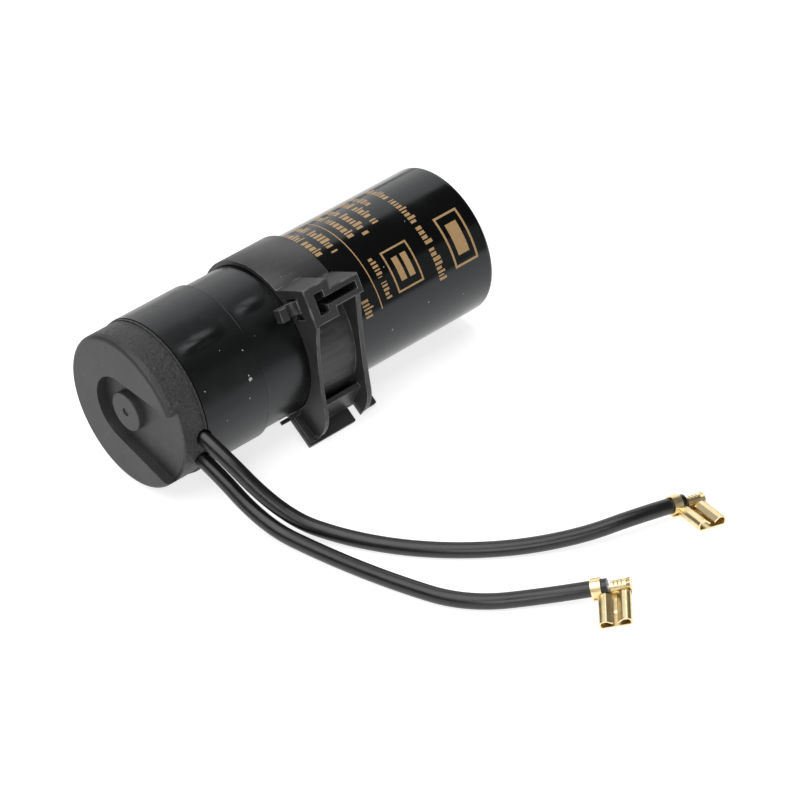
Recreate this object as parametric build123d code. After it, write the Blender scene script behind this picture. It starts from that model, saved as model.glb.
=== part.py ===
from build123d import *
from math import asin, atan2, cos, degrees, hypot, pi, radians, sin, sqrt, tan
import os

# Motor start capacitor with two flying leads, lying on its mounting clip.
# Lengths are millimetres. It is built round the can's axis, which runs along +X from the cap's
# face, with the lead side toward -Y. At the end it is rolled until the clip's foot touches the
# ground, and moved so that the ground is z = 0 and the body's box is centred on the origin.

# Can and overall length
can_radius = 20.0
overall_length = 103.0
can_front = 18.6
can_base_edge = 1.3
can_rim_edge = 0.4

# Closing deck inside the can's mouth
deck_depth = 0.8
deck_thickness = 2.6
deck_radius = 18.5
deck_clearance = 0.05
seal_width = 1.3
vent_radius = 2.0
vent_head_radius = 2.8
vent_head_height = 0.8

# Tab blades and the rivets that hold them
blade_width = 6.3
blade_thickness = 0.8
blade_length = 7.8
blade_tip_bevel = 0.9
blade_clearance = 0.03
blade_foot_length = 7.4
rivet_offset = 4.2
rivet_radius = 1.5
rivet_head_radius = 2.5
rivet_head_height = 0.7
rivet_clearance = 0.03

# End cap: face, skirt and the spigot under the sleeve
cap_radius = 20.4
cap_skirt_length = 9.4
cap_wall = 1.5
cap_face_edge = 1.2
cap_bead = 0.25
cap_bead_width = 0.6
spigot_radius = 19.9
spigot_wall = 1.2
spigot_gap = 0.2

# Pocket in the cap's face, its boss and the flared channel toward the leads
pocket_mouth = 25.1
pocket_depth = 2.7
pocket_radius = 9.15
pocket_offset = 1.1
channel_flare = 6.5
channel_angle = -5.05
boss_radius = 5.15
boss_height = 2.0
boss_edge = 0.25
gate_radius = 1.1
gate_depth = 0.35

# Insulating sleeve that ties the cap to the can
sleeve_gap = 0.2
sleeve_end = 28.6
sleeve_inner_clearance = 0.05
sleeve_thickness = 0.75

# Leads and their conductors
lead_diameter = 3.9
lead_first_corner = 1.5
lead_arc_share = 0.45
lead_offset = 3.65
lead_hole_clearance = 0.1
strand_diameter = 1.4
strand_clearance = 0.05

# Flag terminals folded from brass strip
strip = 0.4
socket_width = 7.8
socket_height = 2.6
socket_length = 8.2
socket_lip_start = 1.9
socket_lip_end = 0.75
socket_lip_clearance = 0.08
socket_corner = 0.65
socket_roll = 1.0
socket_lip_bend = 0.5
socket_rear = 2.0
grip_clearance = 0.05
grip_bite = 0.06
grip_length = 2.4
grip_start = -5.1
insulation_end = -1.3
barrel_start = -0.6
barrel_length = 4.7
barrel_wall = 0.8
barrel_bite = 0.1
barrel_flare = 0.25
barrel_flare_length = 1.0
serration_radius = 0.2
serration_pitch = 0.9
serration_count = 3
socket_hole_radius = 0.6
seat_gap = 0.5

# Moulded mounting clip: band
band_start = 42.0
band_width = 15.0
band_clearance = 0.1
band_thickness = 1.2

# Clip: hollow housing whose flat face carries the T slot
housing_angle = 30.0
housing_reach = 28.2
housing_width = 16.4
housing_centre = 8.45
housing_head_width = 7.7
housing_head_height = 9.9
housing_stem_height = 5.1
housing_wall = 1.15
housing_face = 1.5
housing_edge = 0.25
slot_inset = 2.5
slot_head_width = 2.75
slot_head_height = 5.65
slot_stem_height = 2.06
slot_stem_length = 9.6
window_reach = 24.4
window_high = 11.2
window_low = 9.4
window_root = 19.0
notch_radius = 1.9
notch_reach = 22.6
notch_rise = 5.2
notch_floor = 5.6

# Clip: latch hook beside the housing
hook_length = 5.7
hook_root = 21.6
hook_tip = 24.2
hook_low = -1.0
hook_high = 2.3
hook_groove = 1.6
hook_groove_station = 1.9

# Clip: the two side flanges and the cross wall
flange_thickness = 1.1
right_flange_thickness = 1.45
flange_waist = (-23.2, 4.0)
flange_belly = (-25.4, -8.6)
flange_bulge = (-24.9, -13.6)
flange_foot = (-22.6, -17.4)
wall_base_reach = 25.2
wall_top = (-22.9, -8.3)
wall_thickness = 1.25

# Clip: the sloping foot plate with its raised rib, notch and tongue
foot_angle = 32.0
foot_level = -4.0
foot_thickness = 1.1
foot_reach = 29.2
foot_left = 2.6
foot_main_width = 14.9
foot_notch_width = 2.4
foot_notch_rise = 2.0
foot_toe_width = 5.4
foot_toe_setback = 1.3
foot_corner = 0.5
foot_can_gap = 0.3
rib_height = 0.9
rib_width = 0.8
rib_inset = 0.3
rib_setback = 0.8
tongue_length = 2.8
tongue_width = 1.0
tongue_thickness = 0.5

# Routes of the leads in the final frame, chosen by hand: after the corner at the cap each
# settles on the ground, then rises a little to its flag terminal, which stands on one corner
lead_a_route = [
    (-37.8, -39.8, 5.6),
    (-29.6, -53.8, 1.95),
    (-19.6, -69.8, 1.95),
    (-5.6, -83.2, 1.95),
    (9.3, -92.9, 3.0),
    (22.9, -98.6, 4.965),
    (35.06, -101.04, 3.235),
]
lead_b_route = [
    (-41.4, -37.0, 3.3),
    (-37.4, -53.6, 1.95),
    (-32.6, -72.4, 1.95),
    (-25.8, -91.0, 1.95),
    (-8.9, -102.9, 1.96),
    (-0.41, -111.6, 4.82),
]
flag_rolls = {"a": -6.1, "b": 12.6}
lead_sides = {"a": -1, "b": 1}
lead_routes = {"a": lead_a_route, "b": lead_b_route}

# Worked out from the above
lead_radius = lead_diameter / 2
lead_exit = sqrt(cap_radius**2 - lead_offset**2)
deck_front = can_front + deck_depth
lead_station = deck_front - blade_thickness - seat_gap - socket_length - socket_rear
band_inner = can_radius + band_clearance
band_outer = band_inner + band_thickness
sleeve_start = cap_skirt_length + sleeve_gap
sleeve_inner = can_radius + sleeve_inner_clearance
sleeve_outer = sleeve_inner + sleeve_thickness
socket_base = grip_bite - lead_radius - grip_clearance - strip
blade_place = lead_offset - socket_base - strip - blade_clearance - blade_thickness / 2
rivet_place = blade_place + rivet_offset
barrel_radius = strand_diameter / 2 + barrel_wall
strand_sink = barrel_bite - barrel_radius - socket_base - strip
housing_up = (0, sin(radians(housing_angle)), cos(radians(housing_angle)))
housing_out = (0, -cos(radians(housing_angle)), sin(radians(housing_angle)))
housing_plane = Plane(origin=(0, 0, 0), x_dir=(1, 0, 0), z_dir=housing_out)
housing_side = Plane(origin=(band_start + housing_wall, 0, 0), x_dir=housing_out, z_dir=(-1, 0, 0))
foot_out = (0, -cos(radians(foot_angle)), -sin(radians(foot_angle)))
foot_up = (0, -sin(radians(foot_angle)), cos(radians(foot_angle)))
foot_plane = Plane(origin=(0, 0, 0), x_dir=(1, 0, 0), z_dir=foot_up)
foot_start = band_start - foot_left
foot_base = foot_level - foot_thickness
foot_root = sqrt((can_radius + foot_can_gap)**2 - foot_level**2)
channel_plane = Plane(origin=(0, 0, 0), x_dir=(0, -cos(radians(channel_angle)), sin(radians(channel_angle))),
                      z_dir=(1, 0, 0))


def on_foot(reach, level):
    """Point in the YZ plane at a reach along the foot plate and a level above the axis."""
    return (reach * foot_out[1] + level * foot_up[1], reach * foot_out[2] + level * foot_up[2])


def on_housing(reach, rise):
    """Point in the YZ plane at a reach from the axis and a rise along the housing's face."""
    return (reach * housing_out[1] + rise * housing_up[1], reach * housing_out[2] + rise * housing_up[2])


def rod(start, end, radius):
    """Cylinder round the can's axis between two stations."""
    body = Cylinder(radius, end - start, align=(Align.CENTER, Align.CENTER, Align.MIN))
    return Pos(start, 0, 0) * Rot(0, 90, 0) * body


def slab(start, end, outline):
    """Solid with an outline in the YZ plane between two stations."""
    return Pos(start, 0, 0) * extrude(Plane.YZ * outline, end - start, dir=(1, 0, 0))


def can():
    """Sealed can: one solid with a rounded base and a stepped mouth that seats the deck."""
    body = rod(can_front, overall_length, can_radius)
    body = fillet(body.edges().filter_by(GeomType.CIRCLE).sort_by(Axis.X)[-1], can_base_edge)
    mouth = rod(can_front, deck_front + deck_thickness, deck_radius + deck_clearance)
    body -= mouth
    rim = body.edges().filter_by(GeomType.CIRCLE).filter_by(lambda e: abs(e.center().X - can_front) < 0.01)
    return fillet(rim.sort_by(SortBy.RADIUS)[-1], can_rim_edge)


def terminal_spot(station, side, across):
    """Place on a plane across the axis, offset from the middle on a lead's side."""
    level = Plane(origin=(station, 0, 0), x_dir=channel_plane.x_dir, z_dir=channel_plane.z_dir)
    return level.location * Pos(0, side * across, 0)


def terminal_deck():
    """Insulating disc in the can's mouth, drilled for the rivets and the vent plug."""
    deck = rod(deck_front, deck_front + deck_thickness, deck_radius)
    deck -= rod(deck_front, deck_front + deck_thickness, vent_radius + rivet_clearance)
    for side in lead_sides.values():
        drill = Cylinder(rivet_radius + rivet_clearance, 4 * deck_thickness)
        deck -= terminal_spot(deck_front, side, rivet_place) * drill
    return deck


def deck_seal():
    """Rubber ring that fills the step between the deck and the can's rim."""
    ring = rod(can_front, deck_front, deck_radius)
    return ring - rod(can_front, deck_front, deck_radius - seal_width)


def vent_plug():
    """Rubber pressure plug in the middle of the deck."""
    stem = rod(deck_front, deck_front + deck_thickness, vent_radius)
    return stem + rod(deck_front - vent_head_height, deck_front, vent_head_radius)


def blade(side):
    """Tab terminal: an upright blade folded out of a foot that lies on the deck."""
    middle = Align.CENTER
    tab = Box(blade_width, blade_thickness, blade_length + blade_thickness, align=(middle, middle, Align.MAX))
    tip_edges = tab.faces().sort_by(Axis.Z)[0].edges().filter_by(Axis.Y)
    tab = chamfer(tip_edges, blade_tip_bevel)
    foot = Box(blade_width, blade_foot_length, blade_thickness, align=(middle, Align.MIN, Align.MAX))
    foot = Pos(0, -blade_thickness / 2, 0) * foot
    foot -= Pos(0, rivet_offset, 0) * Cylinder(rivet_radius + rivet_clearance, 4 * blade_thickness)
    turn = Rot(0, 0, 0) if side > 0 else Rot(0, 0, 180)
    return terminal_spot(deck_front, side, blade_place) * turn * (tab + foot)


def rivet(side):
    """Rivet through the blade's foot and the deck, with a low round head."""
    length = deck_thickness + blade_thickness
    shank = Cylinder(rivet_radius, length, align=(Align.CENTER, Align.CENTER, Align.MIN))
    head = Cylinder(rivet_head_radius, rivet_head_height, align=(Align.CENTER, Align.CENTER, Align.MAX))
    return terminal_spot(deck_front - blade_thickness, side, rivet_place) * (shank + head)


def pocket_outline(margin):
    """Round pocket that opens into a channel flaring toward the leads and out past the rim."""
    radius = pocket_radius + margin
    spread = tan(radians(channel_flare))
    mouth = pocket_mouth
    half_root = radius / cos(radians(channel_flare))
    half_mouth = half_root + (mouth + pocket_offset) * spread
    channel = Polygon((0, -half_root), (mouth + pocket_offset, -half_mouth),
                      (mouth + pocket_offset, half_mouth), (0, half_root), align=None)
    return Pos(-pocket_offset, 0) * (Circle(radius) + channel)


def lead_path(name):
    """Route of a lead in the final frame: straight runs joined by arcs as large as they allow."""
    inner = placing * terminal_spot(lead_station, lead_sides[name], lead_offset)
    start = inner * Pos(-insulation_end, 0, 0)
    corner = inner * Pos(lead_exit + lead_first_corner, 0, 0)
    points = [start.position, corner.position] + [Vector(point) for point in lead_routes[name]]
    runs = [after - before for before, after in zip(points, points[1:])]
    radii = []
    for before, after in zip(runs, runs[1:]):
        half_turn = radians(before.get_angle(after) / 2)
        radii.append(lead_arc_share * min(before.length, after.length) / tan(half_turn))
    return FilletPolyline(*points, radius=radii), radii


def lead_tube(name, radius):
    """Round tube along a lead's route."""
    path = lead_path(name)[0]
    section = Plane(origin=path @ 0, z_dir=path % 0) * Circle(radius)
    return sweep(section, path=path)


def lead_holes():
    """Both leads a clearance larger, in the frame the body is built in."""
    fat = [lead_tube(name, lead_radius + lead_hole_clearance) for name in lead_sides]
    return placing.inverse() * (fat[0] + fat[1])


def end_cap():
    """Moulded cap: face with pocket, boss and channel, a skirt with a bead, and a spigot."""
    body = rod(0, cap_skirt_length, cap_radius)
    body = fillet(body.edges().filter_by(GeomType.CIRCLE).sort_by(Axis.X)[0], cap_face_edge)
    body += rod(cap_skirt_length - cap_bead_width, cap_skirt_length, cap_radius + cap_bead)
    spigot_end = can_front - spigot_gap
    body += rod(cap_skirt_length, spigot_end, spigot_radius)
    under_pocket = channel_plane * extrude(pocket_outline(cap_wall), pocket_depth + cap_wall)
    hollow = rod(cap_wall, cap_skirt_length, cap_radius - cap_wall) - under_pocket
    body -= hollow
    body -= rod(cap_skirt_length - cap_wall, spigot_end, spigot_radius - spigot_wall)
    body -= channel_plane * extrude(pocket_outline(0), pocket_depth)
    boss = rod(pocket_depth - boss_height, pocket_depth, boss_radius)
    body += fillet(boss.edges().filter_by(GeomType.CIRCLE).sort_by(Axis.X)[0], boss_edge)
    gate_face = pocket_depth - boss_height
    body -= rod(gate_face, gate_face + gate_depth, gate_radius)
    return body - lead_holes()


def sleeve():
    """Thin insulating sleeve over the joint of cap and can, notched where the leads pass."""
    body = rod(sleeve_start, sleeve_end, sleeve_outer) - rod(sleeve_start, sleeve_end, sleeve_inner)
    return body - lead_holes()


def socket():
    """Folded receptacle: a flat base whose edges roll up and in to press on the blade."""
    half = (socket_width - strip) / 2
    low = strip / 2
    high = socket_height - strip / 2
    lip = strip + blade_clearance + blade_thickness + socket_lip_clearance + strip / 2
    corners = [(0, low), (half, low), (half, high), (socket_lip_start, high), (socket_lip_end, lip)]
    right = FilletPolyline(*corners, radius=[socket_corner, socket_roll, socket_lip_bend])
    profile = make_face(offset(right, strip / 2, side=Side.BOTH, closed=True))
    profile = profile + mirror(profile, Plane.YZ)
    body = extrude(Plane.XZ * profile, socket_length)
    hole = Cylinder(socket_hole_radius, 4 * strip)
    body -= Pos(0, -socket_length / 2, 0) * hole
    return Pos(0, -socket_rear, socket_base) * body


def flag_terminal():
    """Flag terminal: socket, crimp round the insulation and serrated crimp round the strands.

    The wire lies along X with its end toward +X, the socket opens toward -Y, the base is below.
    """
    along_x = Rot(0, 90, 0)
    low = (Align.CENTER, Align.CENTER, Align.MIN)
    grip_outer = lead_radius + grip_clearance + strip
    plate_start = grip_start
    plate_end = socket_width / 2
    plate = Box(plate_end - plate_start, 2 * socket_rear, strip, align=(Align.MIN, Align.CENTER, Align.MIN))
    body = Pos(plate_start, 0, socket_base) * plate
    body += Pos(grip_start, 0, 0) * along_x * Cylinder(grip_outer, grip_length, align=low)
    barrel = Cylinder(barrel_radius, barrel_length, align=low)
    flare = Cone(barrel_radius, barrel_radius + barrel_flare, barrel_flare_length, align=low)
    barrel += Pos(0, 0, barrel_length - barrel_flare_length) * flare
    body += Pos(barrel_start, 0, -strand_sink) * along_x * barrel
    body -= Pos(grip_start, 0, 0) * along_x * Cylinder(lead_radius + grip_clearance, grip_length, align=low)
    bore = Cylinder(strand_diameter / 2 + strand_clearance, 2 * barrel_length)
    body -= Pos(barrel_start, 0, -strand_sink) * along_x * bore
    for number in range(serration_count):
        station = barrel_start + (number + 1) * serration_pitch
        groove = Rot(90, 0, 0) * Cylinder(serration_radius, 4 * barrel_radius)
        body -= Pos(station, 0, barrel_radius - strand_sink) * groove
    return body + socket()


def strands():
    """Bare conductor from the end of the insulation through the crimped barrel."""
    length = barrel_start + barrel_length - insulation_end
    wire = Cylinder(strand_diameter / 2, length, align=(Align.CENTER, Align.CENTER, Align.MIN))
    return Pos(insulation_end, 0, -strand_sink) * Rot(0, 90, 0) * wire


def band():
    """Closed ring of the clip that grips the can."""
    end = band_start + band_width
    return rod(band_start, end, band_outer)


def housing_shape(margin):
    """T-shaped outline of the housing in its face plane: a tall head and a long stem."""
    from_left = (Align.MIN, Align.CENTER)
    head = Rectangle(housing_head_width - 2 * margin, housing_head_height - 2 * margin, align=from_left)
    stem = Rectangle(housing_width - 2 * margin, housing_stem_height - 2 * margin, align=from_left)
    return Pos(band_start + margin, housing_centre) * (head + stem)


def housing():
    """Hollow box standing off the band, closed by the flat face with the T slot."""
    block = extrude(housing_plane * housing_shape(0), housing_reach)
    front = block.faces().sort_by(Axis(origin=(0, 0, 0), direction=housing_out))[-1]
    block = chamfer(front.edges(), housing_edge)
    hollow = extrude(housing_plane * housing_shape(housing_wall), housing_reach - housing_face)
    from_left = (Align.MIN, Align.CENTER)
    head = Rectangle(slot_head_width, slot_head_height, align=from_left)
    stem = Rectangle(slot_head_width + slot_stem_length, slot_stem_height, align=from_left)
    slot_place = housing_plane * Pos(band_start + slot_inset, housing_centre)
    slot = extrude(slot_place * (head + stem), housing_reach)
    return block - hollow - slot


def flange_outline(top_rise):
    """Side flange in the YZ plane, from the housing's underside, bulging round to the foot."""
    corner = on_housing(housing_reach, top_rise)
    inner = on_housing(band_inner, top_rise)
    heel = on_foot(band_inner, foot_base)
    toe = on_foot(foot_reach - rib_setback, foot_base)
    edges = [
        Line(inner, corner),
        ThreePointArc(corner, flange_waist, flange_belly),
        ThreePointArc(flange_belly, flange_bulge, flange_foot),
        Line(flange_foot, toe),
        Line(toe, heel),
        Line(heel, inner),
    ]
    return make_face(edges)


def flanges():
    """Pair of flanges, one flush with each side of the band: under the head and under the stem."""
    left_end = band_start + flange_thickness
    left = slab(band_start, left_end, flange_outline(housing_centre - housing_head_height / 2))
    right_end = band_start + band_width
    right_start = right_end - right_flange_thickness
    return left + slab(right_start, right_end, flange_outline(housing_centre - housing_stem_height / 2))


def cross_wall():
    """Wall between the flanges, rising from the foot plate in front of the band."""
    base = on_foot(wall_base_reach, foot_base + foot_thickness / 2)
    lean_y = wall_top[0] - base[0]
    lean_z = wall_top[1] - base[1]
    length = hypot(lean_y, lean_z)
    back_y = wall_thickness * lean_z / length
    back_z = -wall_thickness * lean_y / length
    outline = Polygon(base, wall_top, (wall_top[0] + back_y, wall_top[1] + back_z),
                      (base[0] + back_y, base[1] + back_z), align=None)
    return slab(band_start + flange_thickness / 2, band_start + band_width - flange_thickness / 2, outline)


def foot_piece(left, width, near, thickness):
    """Plate lying on the foot's base, from the root beside the can out to a reach."""
    outline = Rectangle(width, near - foot_root, align=(Align.MIN, Align.MAX))
    return extrude(foot_plane * Pos(left, -foot_root, foot_base) * outline, thickness)


def rounded_tip(plate):
    """Plate with the two upright edges of its tip rounded."""
    tip_axis = Axis(origin=(0, 0, 0), direction=foot_out)
    tip = plate.faces().sort_by(tip_axis)[-1]
    return fillet(tip.edges().filter_by(Axis(origin=(0, 0, 0), direction=foot_up)), foot_corner)


def foot():
    """Sloping foot plate with a notch, a raised rib round its near corner and a thin tongue."""
    toe_start = foot_start + foot_main_width + foot_notch_width
    total = foot_main_width + foot_notch_width + foot_toe_width
    plate = rounded_tip(foot_piece(foot_start, foot_main_width, foot_reach, foot_thickness))
    plate += rounded_tip(foot_piece(toe_start, foot_toe_width, foot_reach - foot_toe_setback, foot_thickness))
    plate += foot_piece(foot_start, total, wall_base_reach, foot_thickness)
    rib_start = foot_start + rib_inset
    rib_end = band_start + flange_thickness / 2
    rib_tip = foot_reach - rib_setback
    rib_top = foot_thickness + rib_height
    rib = foot_piece(rib_start, rib_end - rib_start, rib_tip, rib_top)
    rib -= foot_piece(rib_start, rib_end - rib_start, foot_root + rib_inset, rib_top)
    pocket = foot_piece(rib_start + rib_width, rib_end - rib_start, rib_tip - rib_width, rib_top)
    pocket -= foot_piece(rib_start, rib_end, foot_root + rib_inset + rib_width, rib_top)
    tongue = foot_piece(foot_start - tongue_length, tongue_length, foot_root + tongue_width, tongue_thickness)
    return plate + (rib - pocket) + tongue


def hook():
    """Latch hook beside the housing: a short arm with a round groove behind its raised lip."""
    width = hook_high - hook_low
    depth = hook_tip - hook_root
    arm = Box(hook_length, width, depth, align=(Align.MIN, Align.MIN, Align.MIN))
    arm = Pos(0, hook_low, hook_root) * arm
    groove = Rot(90, 0, 0) * Cylinder(hook_groove, 4 * width)
    arm -= Pos(hook_length - hook_groove_station, 0, hook_tip) * groove
    return housing_plane * Pos(band_start - hook_length, housing_centre, 0) * arm


def wall_cuts():
    """Openings in the housing's side wall: a three-cornered window and an arched notch."""
    window = Polygon((window_root, window_low), (window_reach, window_high), (window_root, window_high),
                     align=None)
    above = Rectangle(2 * notch_radius, 2 * notch_radius, align=(Align.CENTER, Align.MIN))
    notch = (Pos(notch_reach, notch_rise) * Circle(notch_radius)) & (Pos(notch_reach, notch_floor) * above)
    return extrude(housing_side * (window + notch), housing_wall, dir=(-1, 0, 0))


def foot_notch():
    """Slot between the foot's main plate and its toe, cut up into the flange that ends over it."""
    start = foot_start + foot_main_width
    height = foot_thickness + foot_notch_rise
    return (foot_piece(start, foot_notch_width, foot_reach, height)
            - foot_piece(start, foot_notch_width, wall_base_reach, height))


def mounting_clip():
    """One moulding: band, hollow T-slot housing, hook, flanges, cross wall and foot."""
    body = flanges() + housing() - wall_cuts() + band() + cross_wall() + foot() + hook() - foot_notch()
    bore_start = foot_start - tongue_length - hook_length
    bore_end = foot_start + foot_main_width + foot_notch_width + foot_toe_width
    return body - rod(bore_start, bore_end, band_inner)


def inner_pieces(piece, name):
    """Terminal or strands on the end of a lead inside the cap, its blade side facing outward."""
    outward = -lead_sides[name]
    spot = Plane(origin=terminal_spot(lead_station, lead_sides[name], lead_offset).position,
                 x_dir=-channel_plane.x_dir, z_dir=-channel_plane.y_dir)
    if outward > 0:
        piece = mirror(piece, Plane.XY)
    return placing * spot.location * piece


def outer_pieces(piece, name):
    """Terminal or strands on the free end of a lead, rolled round the wire until it stands."""
    path = lead_path(name)[0]
    wire = path % 1
    upward = Vector(0, 0, 1) - wire * wire.Z
    free_end = Plane(origin=path @ 1 - wire * insulation_end, x_dir=wire, z_dir=upward)
    return free_end.location * Rot(flag_rolls[name], 0, 0) * piece


def resting_roll():
    """Angle that brings the foot's tip down to the level of the band's lowest point."""
    tip = on_foot(foot_reach, foot_base)
    return degrees(asin(band_outer / hypot(*tip)) - atan2(-tip[1], -tip[0]))


clip = mounting_clip()
rolled = Rot(resting_roll(), 0, 0) * clip
box = rolled.bounding_box()
placing = Pos(-overall_length / 2, -(box.min.Y + box.max.Y) / 2, -box.min.Z) * Rot(resting_roll(), 0, 0)

nodes = {
    "mounting_clip": placing * clip,
    "can": placing * can(),
    "terminal_deck": placing * terminal_deck(),
    "deck_seal": placing * deck_seal(),
    "vent_plug": placing * vent_plug(),
    "end_cap": placing * end_cap(),
    "sleeve": placing * sleeve(),
}
terminal = flag_terminal()
wire_end = strands()
for name, side in lead_sides.items():
    nodes["rivet_" + name] = placing * rivet(side)
    nodes["blade_" + name] = placing * blade(side)
    nodes["inner_flag_" + name] = inner_pieces(terminal, name)
    nodes["inner_strands_" + name] = inner_pieces(wire_end, name)
    nodes["lead_" + name] = lead_tube(name, lead_radius)
    nodes["outer_flag_" + name] = outer_pieces(terminal, name)
    nodes["outer_strands_" + name] = outer_pieces(wire_end, name)

os.makedirs("parts", exist_ok=True)
for name, piece in nodes.items():
    solids = piece.solids()
    size = piece.bounding_box()
    print(name, len(solids), "solid", round(piece.volume, 2), "mm3", size.min, size.max)
    export_step(solids[0] if len(solids) == 1 else piece, "parts/" + name + ".step")

for name in lead_sides:
    path, radii = lead_path(name)
    straight = pi * lead_radius**2 * path.length
    print("lead", name, "length", round(path.length, 2), "radii", [round(radius, 1) for radius in radii])
    print("volume over section times length", round(nodes["lead_" + name].volume / straight, 5))
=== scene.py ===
import math
import random

import bpy
from mathutils import Matrix, Vector


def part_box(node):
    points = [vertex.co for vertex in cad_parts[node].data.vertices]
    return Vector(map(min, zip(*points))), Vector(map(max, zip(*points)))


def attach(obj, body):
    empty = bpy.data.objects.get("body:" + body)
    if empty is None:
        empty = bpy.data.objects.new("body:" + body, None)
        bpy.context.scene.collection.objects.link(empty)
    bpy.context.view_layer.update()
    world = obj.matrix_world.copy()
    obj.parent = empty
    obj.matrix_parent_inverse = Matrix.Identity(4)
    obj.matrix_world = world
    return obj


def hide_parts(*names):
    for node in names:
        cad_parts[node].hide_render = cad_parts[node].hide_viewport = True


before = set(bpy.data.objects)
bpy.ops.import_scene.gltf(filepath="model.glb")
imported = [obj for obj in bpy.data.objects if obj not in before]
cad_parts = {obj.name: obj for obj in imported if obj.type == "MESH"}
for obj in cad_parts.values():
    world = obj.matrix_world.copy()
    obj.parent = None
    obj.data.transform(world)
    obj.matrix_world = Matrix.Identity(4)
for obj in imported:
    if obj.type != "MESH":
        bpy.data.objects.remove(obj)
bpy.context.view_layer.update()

# Everything is in metres, in the frame of the solids
MM = 0.001

# Camera of the photograph: where it stands, where it looks and its field of view
CAMERA_PLACE = (-0.41537, -0.54109, 0.51800)
CAMERA_LOOK = (0.50695, 0.61122, -0.60779)
CAMERA_UP = (0.43274, 0.42935, 0.79271)
FOCAL_PIXELS = 3409.77
FRAME_PIXELS = 800
SENSOR_WIDTH = 36.0

# Panels of light, turned to the middle of the object: name, place, width, height and power
CENTRE = (0.0, -0.02, 0.02)
PANELS = [
    ("top_panel", (-0.35, 0.0, 1.1), 1.1, 1.6, 15),
    ("back_panel", (0.66, 1.02, 0.66), 1.5, 1.35, 7.5),
    ("near_panel", (0.75, -1.25, 0.42), 0.8, 0.8, 0.5),
    ("left_panel", (-0.75, -1.1, 0.7), 0.8, 0.8, 7),
]
SURROUNDINGS = 0.1

# Half the floor's width, and the squared distances between which its painted glow and paler colour fade out
FLOOR_HALF = 4.0
GLOW_FULL = 0.04
GLOW_NONE = 0.25

# The can's wall and axis, which the print, the dust and the ridges follow
CAN_LOW, CAN_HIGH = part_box("can")
CAN_RADIUS = (CAN_HIGH[1] - CAN_LOW[1]) / 2
AXIS_Y = (CAN_LOW[1] + CAN_HIGH[1]) / 2
AXIS_Z = (CAN_LOW[2] + CAN_HIGH[2]) / 2

# Ridges in the sleeve and the film: place along the can, length, angle up from the near side,
# width and height
SLEEVE_RIDGE = (-34.0 * MM, 7.5 * MM, math.radians(60), 2.4 * MM, 0.75 * MM)
FILM_RIDGE = (-17.0 * MM, 5.0 * MM, math.radians(66), 2.2 * MM, 0.45 * MM)

# Fine line near the sleeve's end, and the stretch of the can's film over which it turns duller
SLEEVE_LINE = -23.2 * MM
FILM_GLOSSY = -6 * MM
FILM_DULL = -14 * MM

# Where the end cap's rough skirt begins: along the can, and out from the axis
SKIRT_START = -50.6 * MM
SKIRT_FULL = -49.4 * MM
SKIRT_INNER = 19.6 * MM
SKIRT_OUTER = 20.0 * MM

BLUISH = (0.92, 0.96, 1.0, 1.0)

# Routes of the leads in millimetres: the end of the insulation inside the cap, the corner at the
# cap, and then the points over the ground to the flag terminal
LEAD_DIAMETER = 3.9 * MM
LEAD_START = {"a": (-43.6, -0.13, 24.70), "b": (-43.6, 1.02, 17.49)}
LEAD_CORNER = {"a": (-43.6, -20.15, 21.50), "b": (-43.6, -19.00, 14.29)}
LEAD_ROUTES = {
    "a": [(-37.8, -39.8, 5.6), (-29.6, -53.8, 1.95), (-19.6, -69.8, 1.95), (-5.6, -83.2, 1.95),
          (9.3, -92.9, 3.0), (22.9, -98.6, 4.965), (35.06, -101.04, 3.235)],
    "b": [(-41.4, -37.0, 3.3), (-37.4, -53.6, 1.95), (-32.6, -72.4, 1.95), (-25.8, -91.0, 1.95),
          (-8.9, -102.9, 1.96), (-0.41, -111.6, 4.82)],
}

# Print: how far it stands off the can's wall, and how thick it is down into the wall
PRINT_LIFT = 0.015 * MM
PRINT_RADIUS = CAN_RADIUS + PRINT_LIFT
PRINT_THICKNESS = 0.03 * MM
STRIP_STEP = math.radians(4)

# Blocks in a row of print: how many in a group, their widths in a row of the plain height, their
# heights as shares of the row's, and the gaps after a block and after a group
BLOCKS_IN_GROUP = (4, 9)
BLOCK_WIDTHS = (0.3, 0.95)
PLAIN_ROW_HEIGHT = 2.2
BLOCK_HEIGHTS = (1.0, 0.72, 0.72)
BLOCK_GAP = 0.42 * MM
GROUP_GAP = 0.9 * MM

# Rows of print: place along the can and height in mm, from one angle down to another in degrees
PRINT_ROWS = [
    (8.0, 2.6, 118, 72),
    (12.0, 2.6, 118, 70),
    (18.6, 2.6, 118, 70),
    (22.4, 2.6, 118, 71),
    (26.8, 2.6, 118, 76),
    (30.3, 2.2, 118, 92),
    (35.2, 2.3, 116, 10),
    (18.2, 1.7, 54, 22),
    (11.4, 3.0, 30, 12),
]

# Plain outlines: from one place along the can to another, from one angle down to another, and the
# width of their line. Then plain bars: one round the can, one and two inside the outlines
PRINT_OUTLINES = [(21.2, 29.6, 54, 22, 0.5), (39.6, 47.2, 57, 17, 0.6)]
PRINT_BARS = [(15.1, 15.42, 128, 18), (41.6, 45.2, 49, 25), (23.2, 25.0, 47, 29), (26.0, 27.8, 47, 29)]

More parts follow.
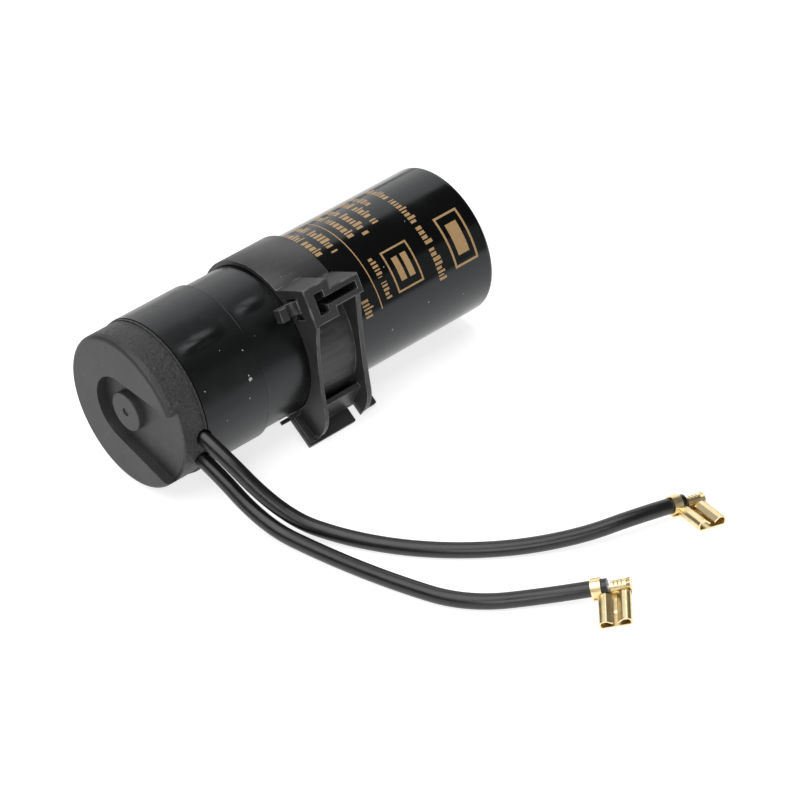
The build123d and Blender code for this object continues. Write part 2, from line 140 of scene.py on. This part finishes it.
# Flecks of dust: place along the can, angle up from its near side, radius they lie at and size
FLECK_CORNERS = 8
FLECK_REACH = (0.2, 0.6)
FLECK_THICKNESS = 0.06 * MM
FLECKS = [
    (-27.1, 21, 20.83, 1.1),
    (-27.3, 24, 20.83, 0.5),
    (-39.9, 29, 20.83, 0.5),
    (-26.0, 41, 20.83, 0.4),
    (-28.7, 9, 20.83, 0.4),
    (-36.2, 2, 20.83, 0.35),
    (-31.4, 48, 20.83, 0.3),
    (20.2, 44, 20.03, 0.4),
    (33.0, 66, 20.03, 0.35),
    (44.5, 30, 20.03, 0.4),
    (29.3, 4, 20.03, 0.5),
    (41.0, -6, 20.03, 0.4),
    (17.2, -2, 20.03, 0.5),
]

# Rounded, paler edges of the clip, partly wear and partly a painted highlight: their width, and the angle
# from which an edge counts as sharp
PALE_EDGE_WIDTH = 0.12 * MM
SHARP_ANGLE = math.radians(40)
WELD_DISTANCE = 0.001 * MM


class Value:
    """A number that varies over a surface: a node socket on which plain operators build the maths."""

    def __init__(self, finish, socket):
        self.finish = finish
        self.socket = socket

    def maths(self, operation, first, second):
        return self.finish.node("ShaderNodeMath", {"operation": operation}, {0: first, 1: second})

    def __add__(self, other):
        return self.maths("ADD", self, other)

    def __sub__(self, other):
        return self.maths("SUBTRACT", self, other)

    def __rsub__(self, other):
        return self.maths("SUBTRACT", other, self)

    def __mul__(self, other):
        return self.maths("MULTIPLY", self, other)

    def __lt__(self, other):
        return self.maths("LESS_THAN", self, other)

    __radd__ = __add__
    __rmul__ = __mul__


class Finish:
    """A material: its nodes are added by one method, and its surface is one principled shader."""

    def __init__(self, name, **constants):
        self.material = bpy.data.materials.new(name)
        self.material.use_nodes = True
        self.tree = self.material.node_tree
        self.shader = self.tree.nodes["Principled BSDF"]
        for socket, value in constants.items():
            self.shader.inputs[socket.replace("_", " ")].default_value = value

    def node(self, kind, settings=None, sockets=None, output=0):
        """Adds a node with its settings, then its socket values or links; returns an output."""
        node = self.tree.nodes.new(kind)
        for key, value in (settings or {}).items():
            setattr(node, key, value)
        for key, value in (sockets or {}).items():
            if isinstance(value, Value):
                self.tree.links.new(value.socket, node.inputs[key])
            else:
                node.inputs[key].default_value = value
        return Value(self, node.outputs[output])

    def place(self):
        """Coordinates on the piece, in metres in the part's frame."""
        return self.node("ShaderNodeTexCoord", output="Object")

    def place_parts(self):
        """The three coordinates on the piece, one by one."""
        split = self.node("ShaderNodeSeparateXYZ", {}, {0: self.place()})
        return [Value(self, socket) for socket in split.socket.node.outputs]

    def noise(self, size, detail=2.0, stretch=(1.0, 1.0, 1.0), roughness=0.5):
        """Cloudy noise from 0 to 1 whose largest blotches have about the given size."""
        scaled = self.node("ShaderNodeVectorMath", {"operation": "MULTIPLY"}, {0: self.place(), 1: stretch})
        sockets = {"Vector": scaled, "Scale": 1 / size, "Detail": detail, "Roughness": roughness}
        return self.node("ShaderNodeTexNoise", {}, sockets)

    def between(self, value, low, high):
        """0 below the low value, 1 above the high one, smooth between."""
        settings = {"interpolation_type": "SMOOTHSTEP"}
        return self.node("ShaderNodeMapRange", settings, {"Value": value, "From Min": low, "From Max": high})

    def mix(self, share, colour_a, colour_b):
        """One colour where the share is 0 and the other where it is 1."""
        sockets = {0: share, 6: colour_a, 7: colour_b}
        return self.node("ShaderNodeMix", {"data_type": "RGBA"}, sockets, output=2)

    def dusted(self, base, spacing, size, level):
        """A colour with small grey specks on it, their size a share of the spacing between them."""
        sockets = {"Vector": self.place(), "Scale": 1 / spacing}
        distance = self.node("ShaderNodeTexVoronoi", {"feature": "F1"}, sockets, output="Distance")
        return self.mix(distance < size, base, grey(level))

    def rubbed(self, share):
        """Uneven patches where moulded plastic is rubbed, up to the given share."""
        return self.between(self.noise(2.2 * MM, detail=6.0, roughness=0.7), 0.56, 0.74) * share

    def hump(self, distance, width):
        """Round bump: 1 where the distance is 0, fading to 0 at the width."""
        away = self.node("ShaderNodeMath", {"operation": "ABSOLUTE"}, {0: distance})
        return 1 - self.between(away, 0.0, width)

    def ridge(self, x, y, z, place, length, angle, width, height):
        """Long soft ridge on the can's wall, with its height, for the bumps."""
        across = (y - AXIS_Y) * math.sin(angle) + (z - AXIS_Z) * math.cos(angle)
        return self.hump(across, width) * self.hump(x - place, length), height

    def feed(self, socket, value):
        self.tree.links.new(value.socket, self.shader.inputs[socket])

    def bumps(self, *layers):
        """Raises the surface by height fields, each given with its depth in metres."""
        total = None
        for height, depth in layers:
            layer = height * depth
            total = layer if total is None else total + layer
        sockets = {"Height": total, "Distance": 1.0, "Strength": 1.0}
        self.feed("Normal", self.node("ShaderNodeBump", {}, sockets))


def grey(level, warm=0.0):
    """A neutral colour, a little warmer or cooler."""
    return (level * (1 + warm), level, level * (1 - warm), 1.0)


def clip_plastic():
    """The clip's dark plastic: fine grain, faint clouds, pale scuffs and a few specks of dust."""
    finish = Finish("clip_plastic", Specular_IOR_Level=0.45)
    clouds = finish.noise(9 * MM, detail=3.0)
    fine = finish.noise(0.35 * MM, detail=2.0)
    rubbed = finish.rubbed(0.3)
    base = finish.mix(finish.between(clouds, 0.35, 0.7), grey(0.022), grey(0.028, 0.02))
    base = finish.mix(rubbed, base, grey(0.0896))
    finish.feed("Base Color", finish.dusted(base, 4.5 * MM, 0.018, 0.55))
    finish.feed("Roughness", 0.42 + (fine - 0.5) * 0.12 + rubbed * 0.15)
    finish.bumps((fine, 0.01 * MM), (clouds, 0.05 * MM), (rubbed, 0.02 * MM))
    return finish.material


def worn_and_highlit_edge():
    """Plastic on the clip's edges, paler in patches: partly wear, partly a painted highlight along the
    edges.
    """
    finish = Finish("worn_and_highlit_edge", Specular_IOR_Level=0.45)
    patchiness = finish.between(finish.noise(3.0 * MM, detail=4.0), 0.38, 0.62)
    # Paler edges: partly wear, partly a painted highlight
    finish.feed("Base Color", finish.mix(patchiness, grey(0.04), grey(0.13)))
    finish.feed("Roughness", 0.5 + patchiness * 0.1)
    return finish.material


def cap_plastic():
    """The end cap's dark plastic: a rough, pitted skirt with a brown cast and a smoother face, with painted
    shade in the pits.
    """
    finish = Finish("cap_plastic", Specular_IOR_Level=0.45)
    x, y, z = finish.place_parts()
    across, up = y - AXIS_Y, z - AXIS_Z
    outside = finish.between(across * across + up * up, SKIRT_INNER ** 2, SKIRT_OUTER ** 2)
    skirt = finish.between(x, SKIRT_START, SKIRT_FULL) * outside
    clouds = finish.between(finish.noise(9 * MM, detail=3.0), 0.35, 0.7)
    fine = finish.noise(0.35 * MM, detail=2.0)
    lumps = finish.noise(1.1 * MM, detail=5.0, roughness=0.6)
    pits = finish.between(finish.noise(0.7 * MM, detail=4.0), 0.58, 0.72) * (0.25 + skirt * 0.75)
    rubbed = finish.rubbed(0.5)
    base = finish.mix(clouds, (0.0245, 0.0235, 0.0242, 1.0), (0.0325, 0.0310, 0.0316, 1.0))
    base = finish.mix(rubbed, base, (0.1, 0.094, 0.094, 1.0))
    # Pits painted near black: painted shade in them
    base = finish.mix(pits, base, grey(0.006))
    finish.feed("Base Color", finish.dusted(base, 3.4 * MM, 0.02, 0.5))
    finish.feed("Roughness", 0.5 + (fine - 0.5) * 0.12 + rubbed * 0.15 + pits * 0.1)
    finish.bumps((fine, 0.02 * MM), (lumps * skirt, 0.6 * MM), (pits, -0.03 * MM))
    return finish.material


def glossy_film():
    """Glossy black film round the can, duller toward the cap, with faint ripples, smudges and dust."""
    finish = Finish("can_film", Specular_IOR_Level=0.45, Specular_Tint=BLUISH)
    x, y, z = finish.place_parts()
    dulled = finish.between(x, FILM_GLOSSY, FILM_DULL)
    smudge = finish.between(finish.noise(14 * MM, detail=4.0), 0.45, 0.75)
    ripple = finish.noise(9 * MM, detail=1.0, stretch=(0.35, 1.0, 1.0))
    base = finish.mix(smudge, grey(0.0012), grey(0.003))
    finish.feed("Base Color", finish.dusted(base, 5.5 * MM, 0.014, 0.5))
    finish.feed("Roughness", 0.14 + smudge * 0.06 + dulled * 0.17)
    finish.bumps((ripple, 0.035 * MM), finish.ridge(x, y, z, *FILM_RIDGE))
    return finish.material


def shrink_sleeve():
    """Satin black shrink sleeve, softly rippled, with a ridge and a fine line where it shrank unevenly."""
    finish = Finish("sleeve_film", Specular_IOR_Level=0.42, Specular_Tint=BLUISH)
    x, y, z = finish.place_parts()
    line = finish.hump(x - SLEEVE_LINE, 0.3 * MM)
    soft = finish.noise(7 * MM, detail=2.0, stretch=(0.6, 1.0, 1.0))
    smear = finish.between(finish.noise(5 * MM, detail=5.0), 0.5, 0.75)
    fine = finish.noise(0.5 * MM)
    finish.feed("Base Color", finish.mix(smear, grey(0.003), grey(0.006)))
    finish.feed("Roughness", 0.3 + smear * 0.08)
    ridge = finish.ridge(x, y, z, *SLEEVE_RIDGE)
    finish.bumps((soft, 0.1 * MM), (fine, 0.003 * MM), (line, 0.03 * MM), ridge)
    return finish.material


def lead_skin():
    """Satin black insulation, slightly uneven along its length."""
    finish = Finish("lead_skin", Specular_IOR_Level=0.6)
    uneven = finish.noise(3 * MM, detail=3.0)
    rubbed = finish.between(finish.noise(1.2 * MM, detail=5.0, roughness=0.7), 0.6, 0.8)
    finish.feed("Base Color", finish.mix(rubbed, grey(0.004), grey(0.014)))
    finish.feed("Roughness", 0.27 + uneven * 0.12)
    finish.bumps((uneven, 0.05 * MM), (finish.noise(0.3 * MM), 0.004 * MM))
    return finish.material


def terminal_brass():
    """Rolled brass strip: bright and pale, a little browner in blotches."""
    finish = Finish("terminal_brass", Metallic=1.0)
    tarnish = finish.between(finish.noise(1.4 * MM, detail=3.0), 0.45, 0.75)
    fine = finish.noise(0.35 * MM, detail=2.0)
    finish.feed("Base Color", finish.mix(tarnish, (0.86, 0.72, 0.43, 1.0), (0.78, 0.59, 0.29, 1.0)))
    finish.feed("Roughness", 0.27 + tarnish * 0.08 + fine * 0.06)
    finish.bumps((finish.noise(2.2 * MM), 0.004 * MM))
    return finish.material


def mottled(name, size, detail, dark, light, dullness, unevenness, relief, metallic):
    """A plain surface, mottled between two colours and a little uneven: strands, rivets, board, rubber."""
    finish = Finish(name, Metallic=metallic)
    mottle = finish.noise(size, detail=detail)
    finish.feed("Base Color", finish.mix(mottle, dark, light))
    finish.feed("Roughness", dullness + mottle * unevenness)
    finish.bumps((mottle, relief))
    return finish.material


def print_ink():
    """Matt tan ink, thin enough to show a little unevenness."""
    finish = Finish("print_ink", Specular_IOR_Level=0.4)
    patchiness = finish.noise(0.9 * MM, detail=3.0)
    finish.feed("Base Color", finish.mix(patchiness, (0.30, 0.19, 0.085, 1.0), (0.44, 0.29, 0.14, 1.0)))
    finish.feed("Roughness", 0.34 + patchiness * 0.1)
    return finish.material


def dust():
    """Pale, matt dust."""
    finish = Finish("dust", Specular_IOR_Level=0.2)
    finish.feed("Base Color", finish.mix(finish.noise(0.3 * MM), grey(0.2), grey(0.5)))
    finish.feed("Roughness", 0.8 + finish.noise(0.5 * MM) * 0.1)
    return finish.material


def pale_floor():
    """White table with a painted glow: emission and a paler colour in a pool round the object, which fill in
    its shadows and fade out further away.
    """
    finish = Finish("pale_floor", Roughness=0.75, Specular_IOR_Level=0.2, Emission_Strength=1.0)
    x, y, _ = finish.place_parts()
    # Painted glow: the floor glows and is paler round the object, filling in its shadows
    painted_glow = 1 - finish.between(x * x + y * y, GLOW_FULL, GLOW_NONE)
    finish.feed("Base Color", finish.mix(painted_glow, grey(0.35), grey(0.55)))
    finish.feed("Emission Color", finish.mix(painted_glow, grey(0.08), grey(0.72)))
    return finish.material


def new_object(name, data):
    """An object of the scene for a mesh, a curve, a camera or a light."""
    made = bpy.data.objects.new(name, data)
    bpy.context.scene.collection.objects.link(made)
    return made


def look_through_camera():
    """Camera at the photograph's place and angle, made the scene's camera."""
    look = Vector(CAMERA_LOOK).normalized()
    right = look.cross(Vector(CAMERA_UP)).normalized()
    up = right.cross(look)
    camera = bpy.data.cameras.new("photo_camera")
    camera.sensor_width = SENSOR_WIDTH
    camera.lens = FOCAL_PIXELS / FRAME_PIXELS * SENSOR_WIDTH
    holder = new_object("photo_camera", camera)
    holder.matrix_world = Matrix.Translation(CAMERA_PLACE) @ Matrix((right, up, -look)).transposed().to_4x4()
    bpy.context.scene.camera = holder


def light_panel(name, place, width, height, watts):
    """Rectangular area light at a place, turned toward the object."""
    lamp = bpy.data.lights.new(name, "AREA")
    lamp.shape = "RECTANGLE"
    lamp.size = width
    lamp.size_y = height
    lamp.energy = watts
    holder = new_object(name, lamp)
    holder.location = place
    holder.rotation_euler = (Vector(CENTRE) - Vector(place)).to_track_quat("-Z", "Y").to_euler()


def light_surroundings():
    """Faint even light from all round, and plain display colours."""
    world = bpy.data.worlds.new("studio")
    bpy.context.scene.world = world
    world.use_nodes = True
    background = world.node_tree.nodes["Background"]
    background.inputs["Color"].default_value = (1.0, 1.0, 1.0, 1.0)
    background.inputs["Strength"].default_value = SURROUNDINGS
    bpy.context.scene.view_settings.view_transform = "Standard"


def lay_floor(material):
    mesh = bpy.data.meshes.new("floor")
    half = FLOOR_HALF
    corners = [(-half, -half, 0), (half, -half, 0), (half, half, 0), (-half, half, 0)]
    mesh.from_pydata(corners, [], [(0, 1, 2, 3)])
    mesh.materials.append(material)
    new_object("floor", mesh)


def lead(name, material):
    """A lead as a smooth spline along its route, in place of its solid."""
    points = [LEAD_START[name], LEAD_CORNER[name]] + LEAD_ROUTES[name]
    curve = bpy.data.curves.new("lead_" + name + "_skin", "CURVE")
    curve.dimensions = "3D"
    curve.bevel_depth = LEAD_DIAMETER / 2
    curve.bevel_resolution = 8
    curve.resolution_u = 24
    curve.use_fill_caps = True
    spline = curve.splines.new("NURBS")
    spline.points.add(len(points) - 1)
    for point, place in zip(spline.points, points):
        point.co = (place[0] * MM, place[1] * MM, place[2] * MM, 1.0)
    spline.order_u = 3
    spline.use_endpoint_u = True
    curve.materials.append(material)
    piece = new_object("lead_" + name + "_skin", curve)
    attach(piece, "root")
    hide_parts("lead_" + name)


class WallPatches:
    """Thin patches on the can's wall, gathered for one piece."""

    def __init__(self):
        self.vertices = []
        self.faces = []

    def point(self, x, angle, radius):
        """Adds a point at a place along the can and an angle up from its near side, at a radius."""
        self.vertices.append((x, AXIS_Y - radius * math.cos(angle), AXIS_Z + radius * math.sin(angle)))

    def strip(self, x_from, x_to, top, bottom):
        """Patch of print between two places along the can, from one angle down to another."""
        steps = max(1, math.ceil(abs(bottom - top) / STRIP_STEP))
        first = len(self.vertices)
        for step in range(steps + 1):
            angle = top + (bottom - top) * step / steps
            self.point(x_from, angle, PRINT_RADIUS)
            self.point(x_to, angle, PRINT_RADIUS)
        for corner in range(first, first + 2 * steps, 2):
            self.faces.append((corner, corner + 2, corner + 3, corner + 1))

    def row(self, chance, x, height, angle_from, angle_to):
        """Row of plain blocks in place of a line of print, running down round the can."""
        angle, last = math.radians(angle_from), math.radians(angle_to)
        low = (x - height / 2) * MM
        while angle > last:
            for _ in range(chance.randint(*BLOCKS_IN_GROUP)):
                width = chance.uniform(*BLOCK_WIDTHS) * MM * height / PLAIN_ROW_HEIGHT
                tall = height * MM * chance.choice(BLOCK_HEIGHTS)
                end = angle - width / PRINT_RADIUS
                if end < last:
                    return
                self.strip(low, low + tall, angle, end)
                angle = end - BLOCK_GAP / PRINT_RADIUS
            angle -= GROUP_GAP / PRINT_RADIUS

    def bar(self, x_from, x_to, angle_from, angle_to):
        """Plain filled bar."""
        self.strip(x_from * MM, x_to * MM, math.radians(angle_from), math.radians(angle_to))

    def outline(self, x_from, x_to, angle_from, angle_to, line):
        """Plain outline of four bars."""
        left, right, line = x_from * MM, x_to * MM, line * MM
        top, bottom = math.radians(angle_from), math.radians(angle_to)
        turn = line / PRINT_RADIUS
        self.strip(left, left + line, top, bottom)
        self.strip(right - line, right, top, bottom)
        self.strip(left + line, right - line, top, top - turn)
        self.strip(left + line, right - line, bottom + turn, bottom)

    def fleck(self, chance, x, angle, radius, size):
        """Small uneven patch of dust."""
        first = len(self.vertices)
        for corner in range(FLECK_CORNERS):
            turn = corner * math.tau / FLECK_CORNERS
            reach = size * chance.uniform(*FLECK_REACH) * MM
            spot = math.radians(angle) + reach * math.sin(turn) / (radius * MM)
            self.point(x * MM + reach * math.cos(turn), spot, radius * MM)
        self.faces.append(tuple(range(first, first + FLECK_CORNERS)))

    def make_piece(self, name, material, thickness):
        """One piece of all the patches, each closed and thickened down into the wall."""
        mesh = bpy.data.meshes.new(name)
        mesh.from_pydata(self.vertices, [], self.faces)
        mesh.update()
        mesh.materials.append(material)
        piece = new_object(name, mesh)
        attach(piece, "root")
        solid = piece.modifiers.new("thickness", "SOLIDIFY")
        solid.thickness = thickness
        solid.offset = -1.0


def print_marks():
    """Tan print on the can: rows of blocks, two plain outlines, and plain bars."""
    marks = WallPatches()
    for seed, row in enumerate(PRINT_ROWS):
        marks.row(random.Random(seed), *row)
    for outline in PRINT_OUTLINES:
        marks.outline(*outline)
    for bar in PRINT_BARS:
        marks.bar(*bar)
    marks.make_piece("can_print", print_ink(), PRINT_THICKNESS)


def dust_flecks():
    """Pale flecks of dust that lie on the sleeve and the can."""
    chance = random.Random(5)
    flecks = WallPatches()
    for fleck in FLECKS:
        flecks.fleck(chance, *fleck)
    flecks.make_piece("dust_flecks", dust(), FLECK_THICKNESS)


def round_pale_edges(name, material):
    """Rounds the sharp edges of a node a little and gives them the paler edge plastic: partly wear, partly a
    painted highlight.
    """
    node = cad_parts[name]
    node.data.materials.append(material)
    weld = node.modifiers.new("weld", "WELD")
    weld.merge_threshold = WELD_DISTANCE
    bevel = node.modifiers.new("soft_edges", "BEVEL")
    bevel.width = PALE_EDGE_WIDTH
    bevel.segments = 2
    bevel.limit_method = "ANGLE"
    bevel.angle_limit = SHARP_ANGLE
    bevel.harden_normals = True
    bevel.use_clamp_overlap = False
    bevel.material = len(node.data.materials) - 1


def dress(material, *nodes):
    """Gives nodes a material in every slot they have."""
    for name in nodes:
        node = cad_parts[name]
        if not node.data.materials:
            node.data.materials.append(material)
        for index in range(len(node.data.materials)):
            node.data.materials[index] = material


look_through_camera()
lay_floor(pale_floor())
skin = lead_skin()
for side in ("a", "b"):
    lead(side, skin)

dress(glossy_film(), "can")
dress(cap_plastic(), "end_cap")
dress(clip_plastic(), "mounting_clip")
dress(shrink_sleeve(), "sleeve")
dress(terminal_brass(), "outer_flag_a", "outer_flag_b", "inner_flag_a", "inner_flag_b", "blade_a", "blade_b")
dress(mottled("tinned_strand", 0.3 * MM, 1.0, grey(0.62, 0.02), grey(0.86, 0.03), 0.26, 0.2, 0.02 * MM, 1.0),
      "outer_strands_a", "outer_strands_b", "inner_strands_a", "inner_strands_b")
dress(mottled("rivet_metal", 0.5 * MM, 3.0, grey(0.6), grey(0.75), 0.35, 0.15, 0.0, 1.0),
      "rivet_a", "rivet_b")
dress(mottled("deck_board", 0.8 * MM, 4.0, (0.14, 0.07, 0.035, 1.0), (0.2, 0.1, 0.05, 1.0), 0.6, 0.1,
              0.02 * MM, 0.0), "terminal_deck")
dress(mottled("seal_rubber", 0.8 * MM, 4.0, grey(0.015), grey(0.025), 0.75, 0.1, 0.02 * MM, 0.0),
      "deck_seal", "vent_plug")

print_marks()
dust_flecks()
round_pale_edges("mounting_clip", worn_and_highlit_edge())

for panel in PANELS:
    light_panel(*panel)
light_surroundings()
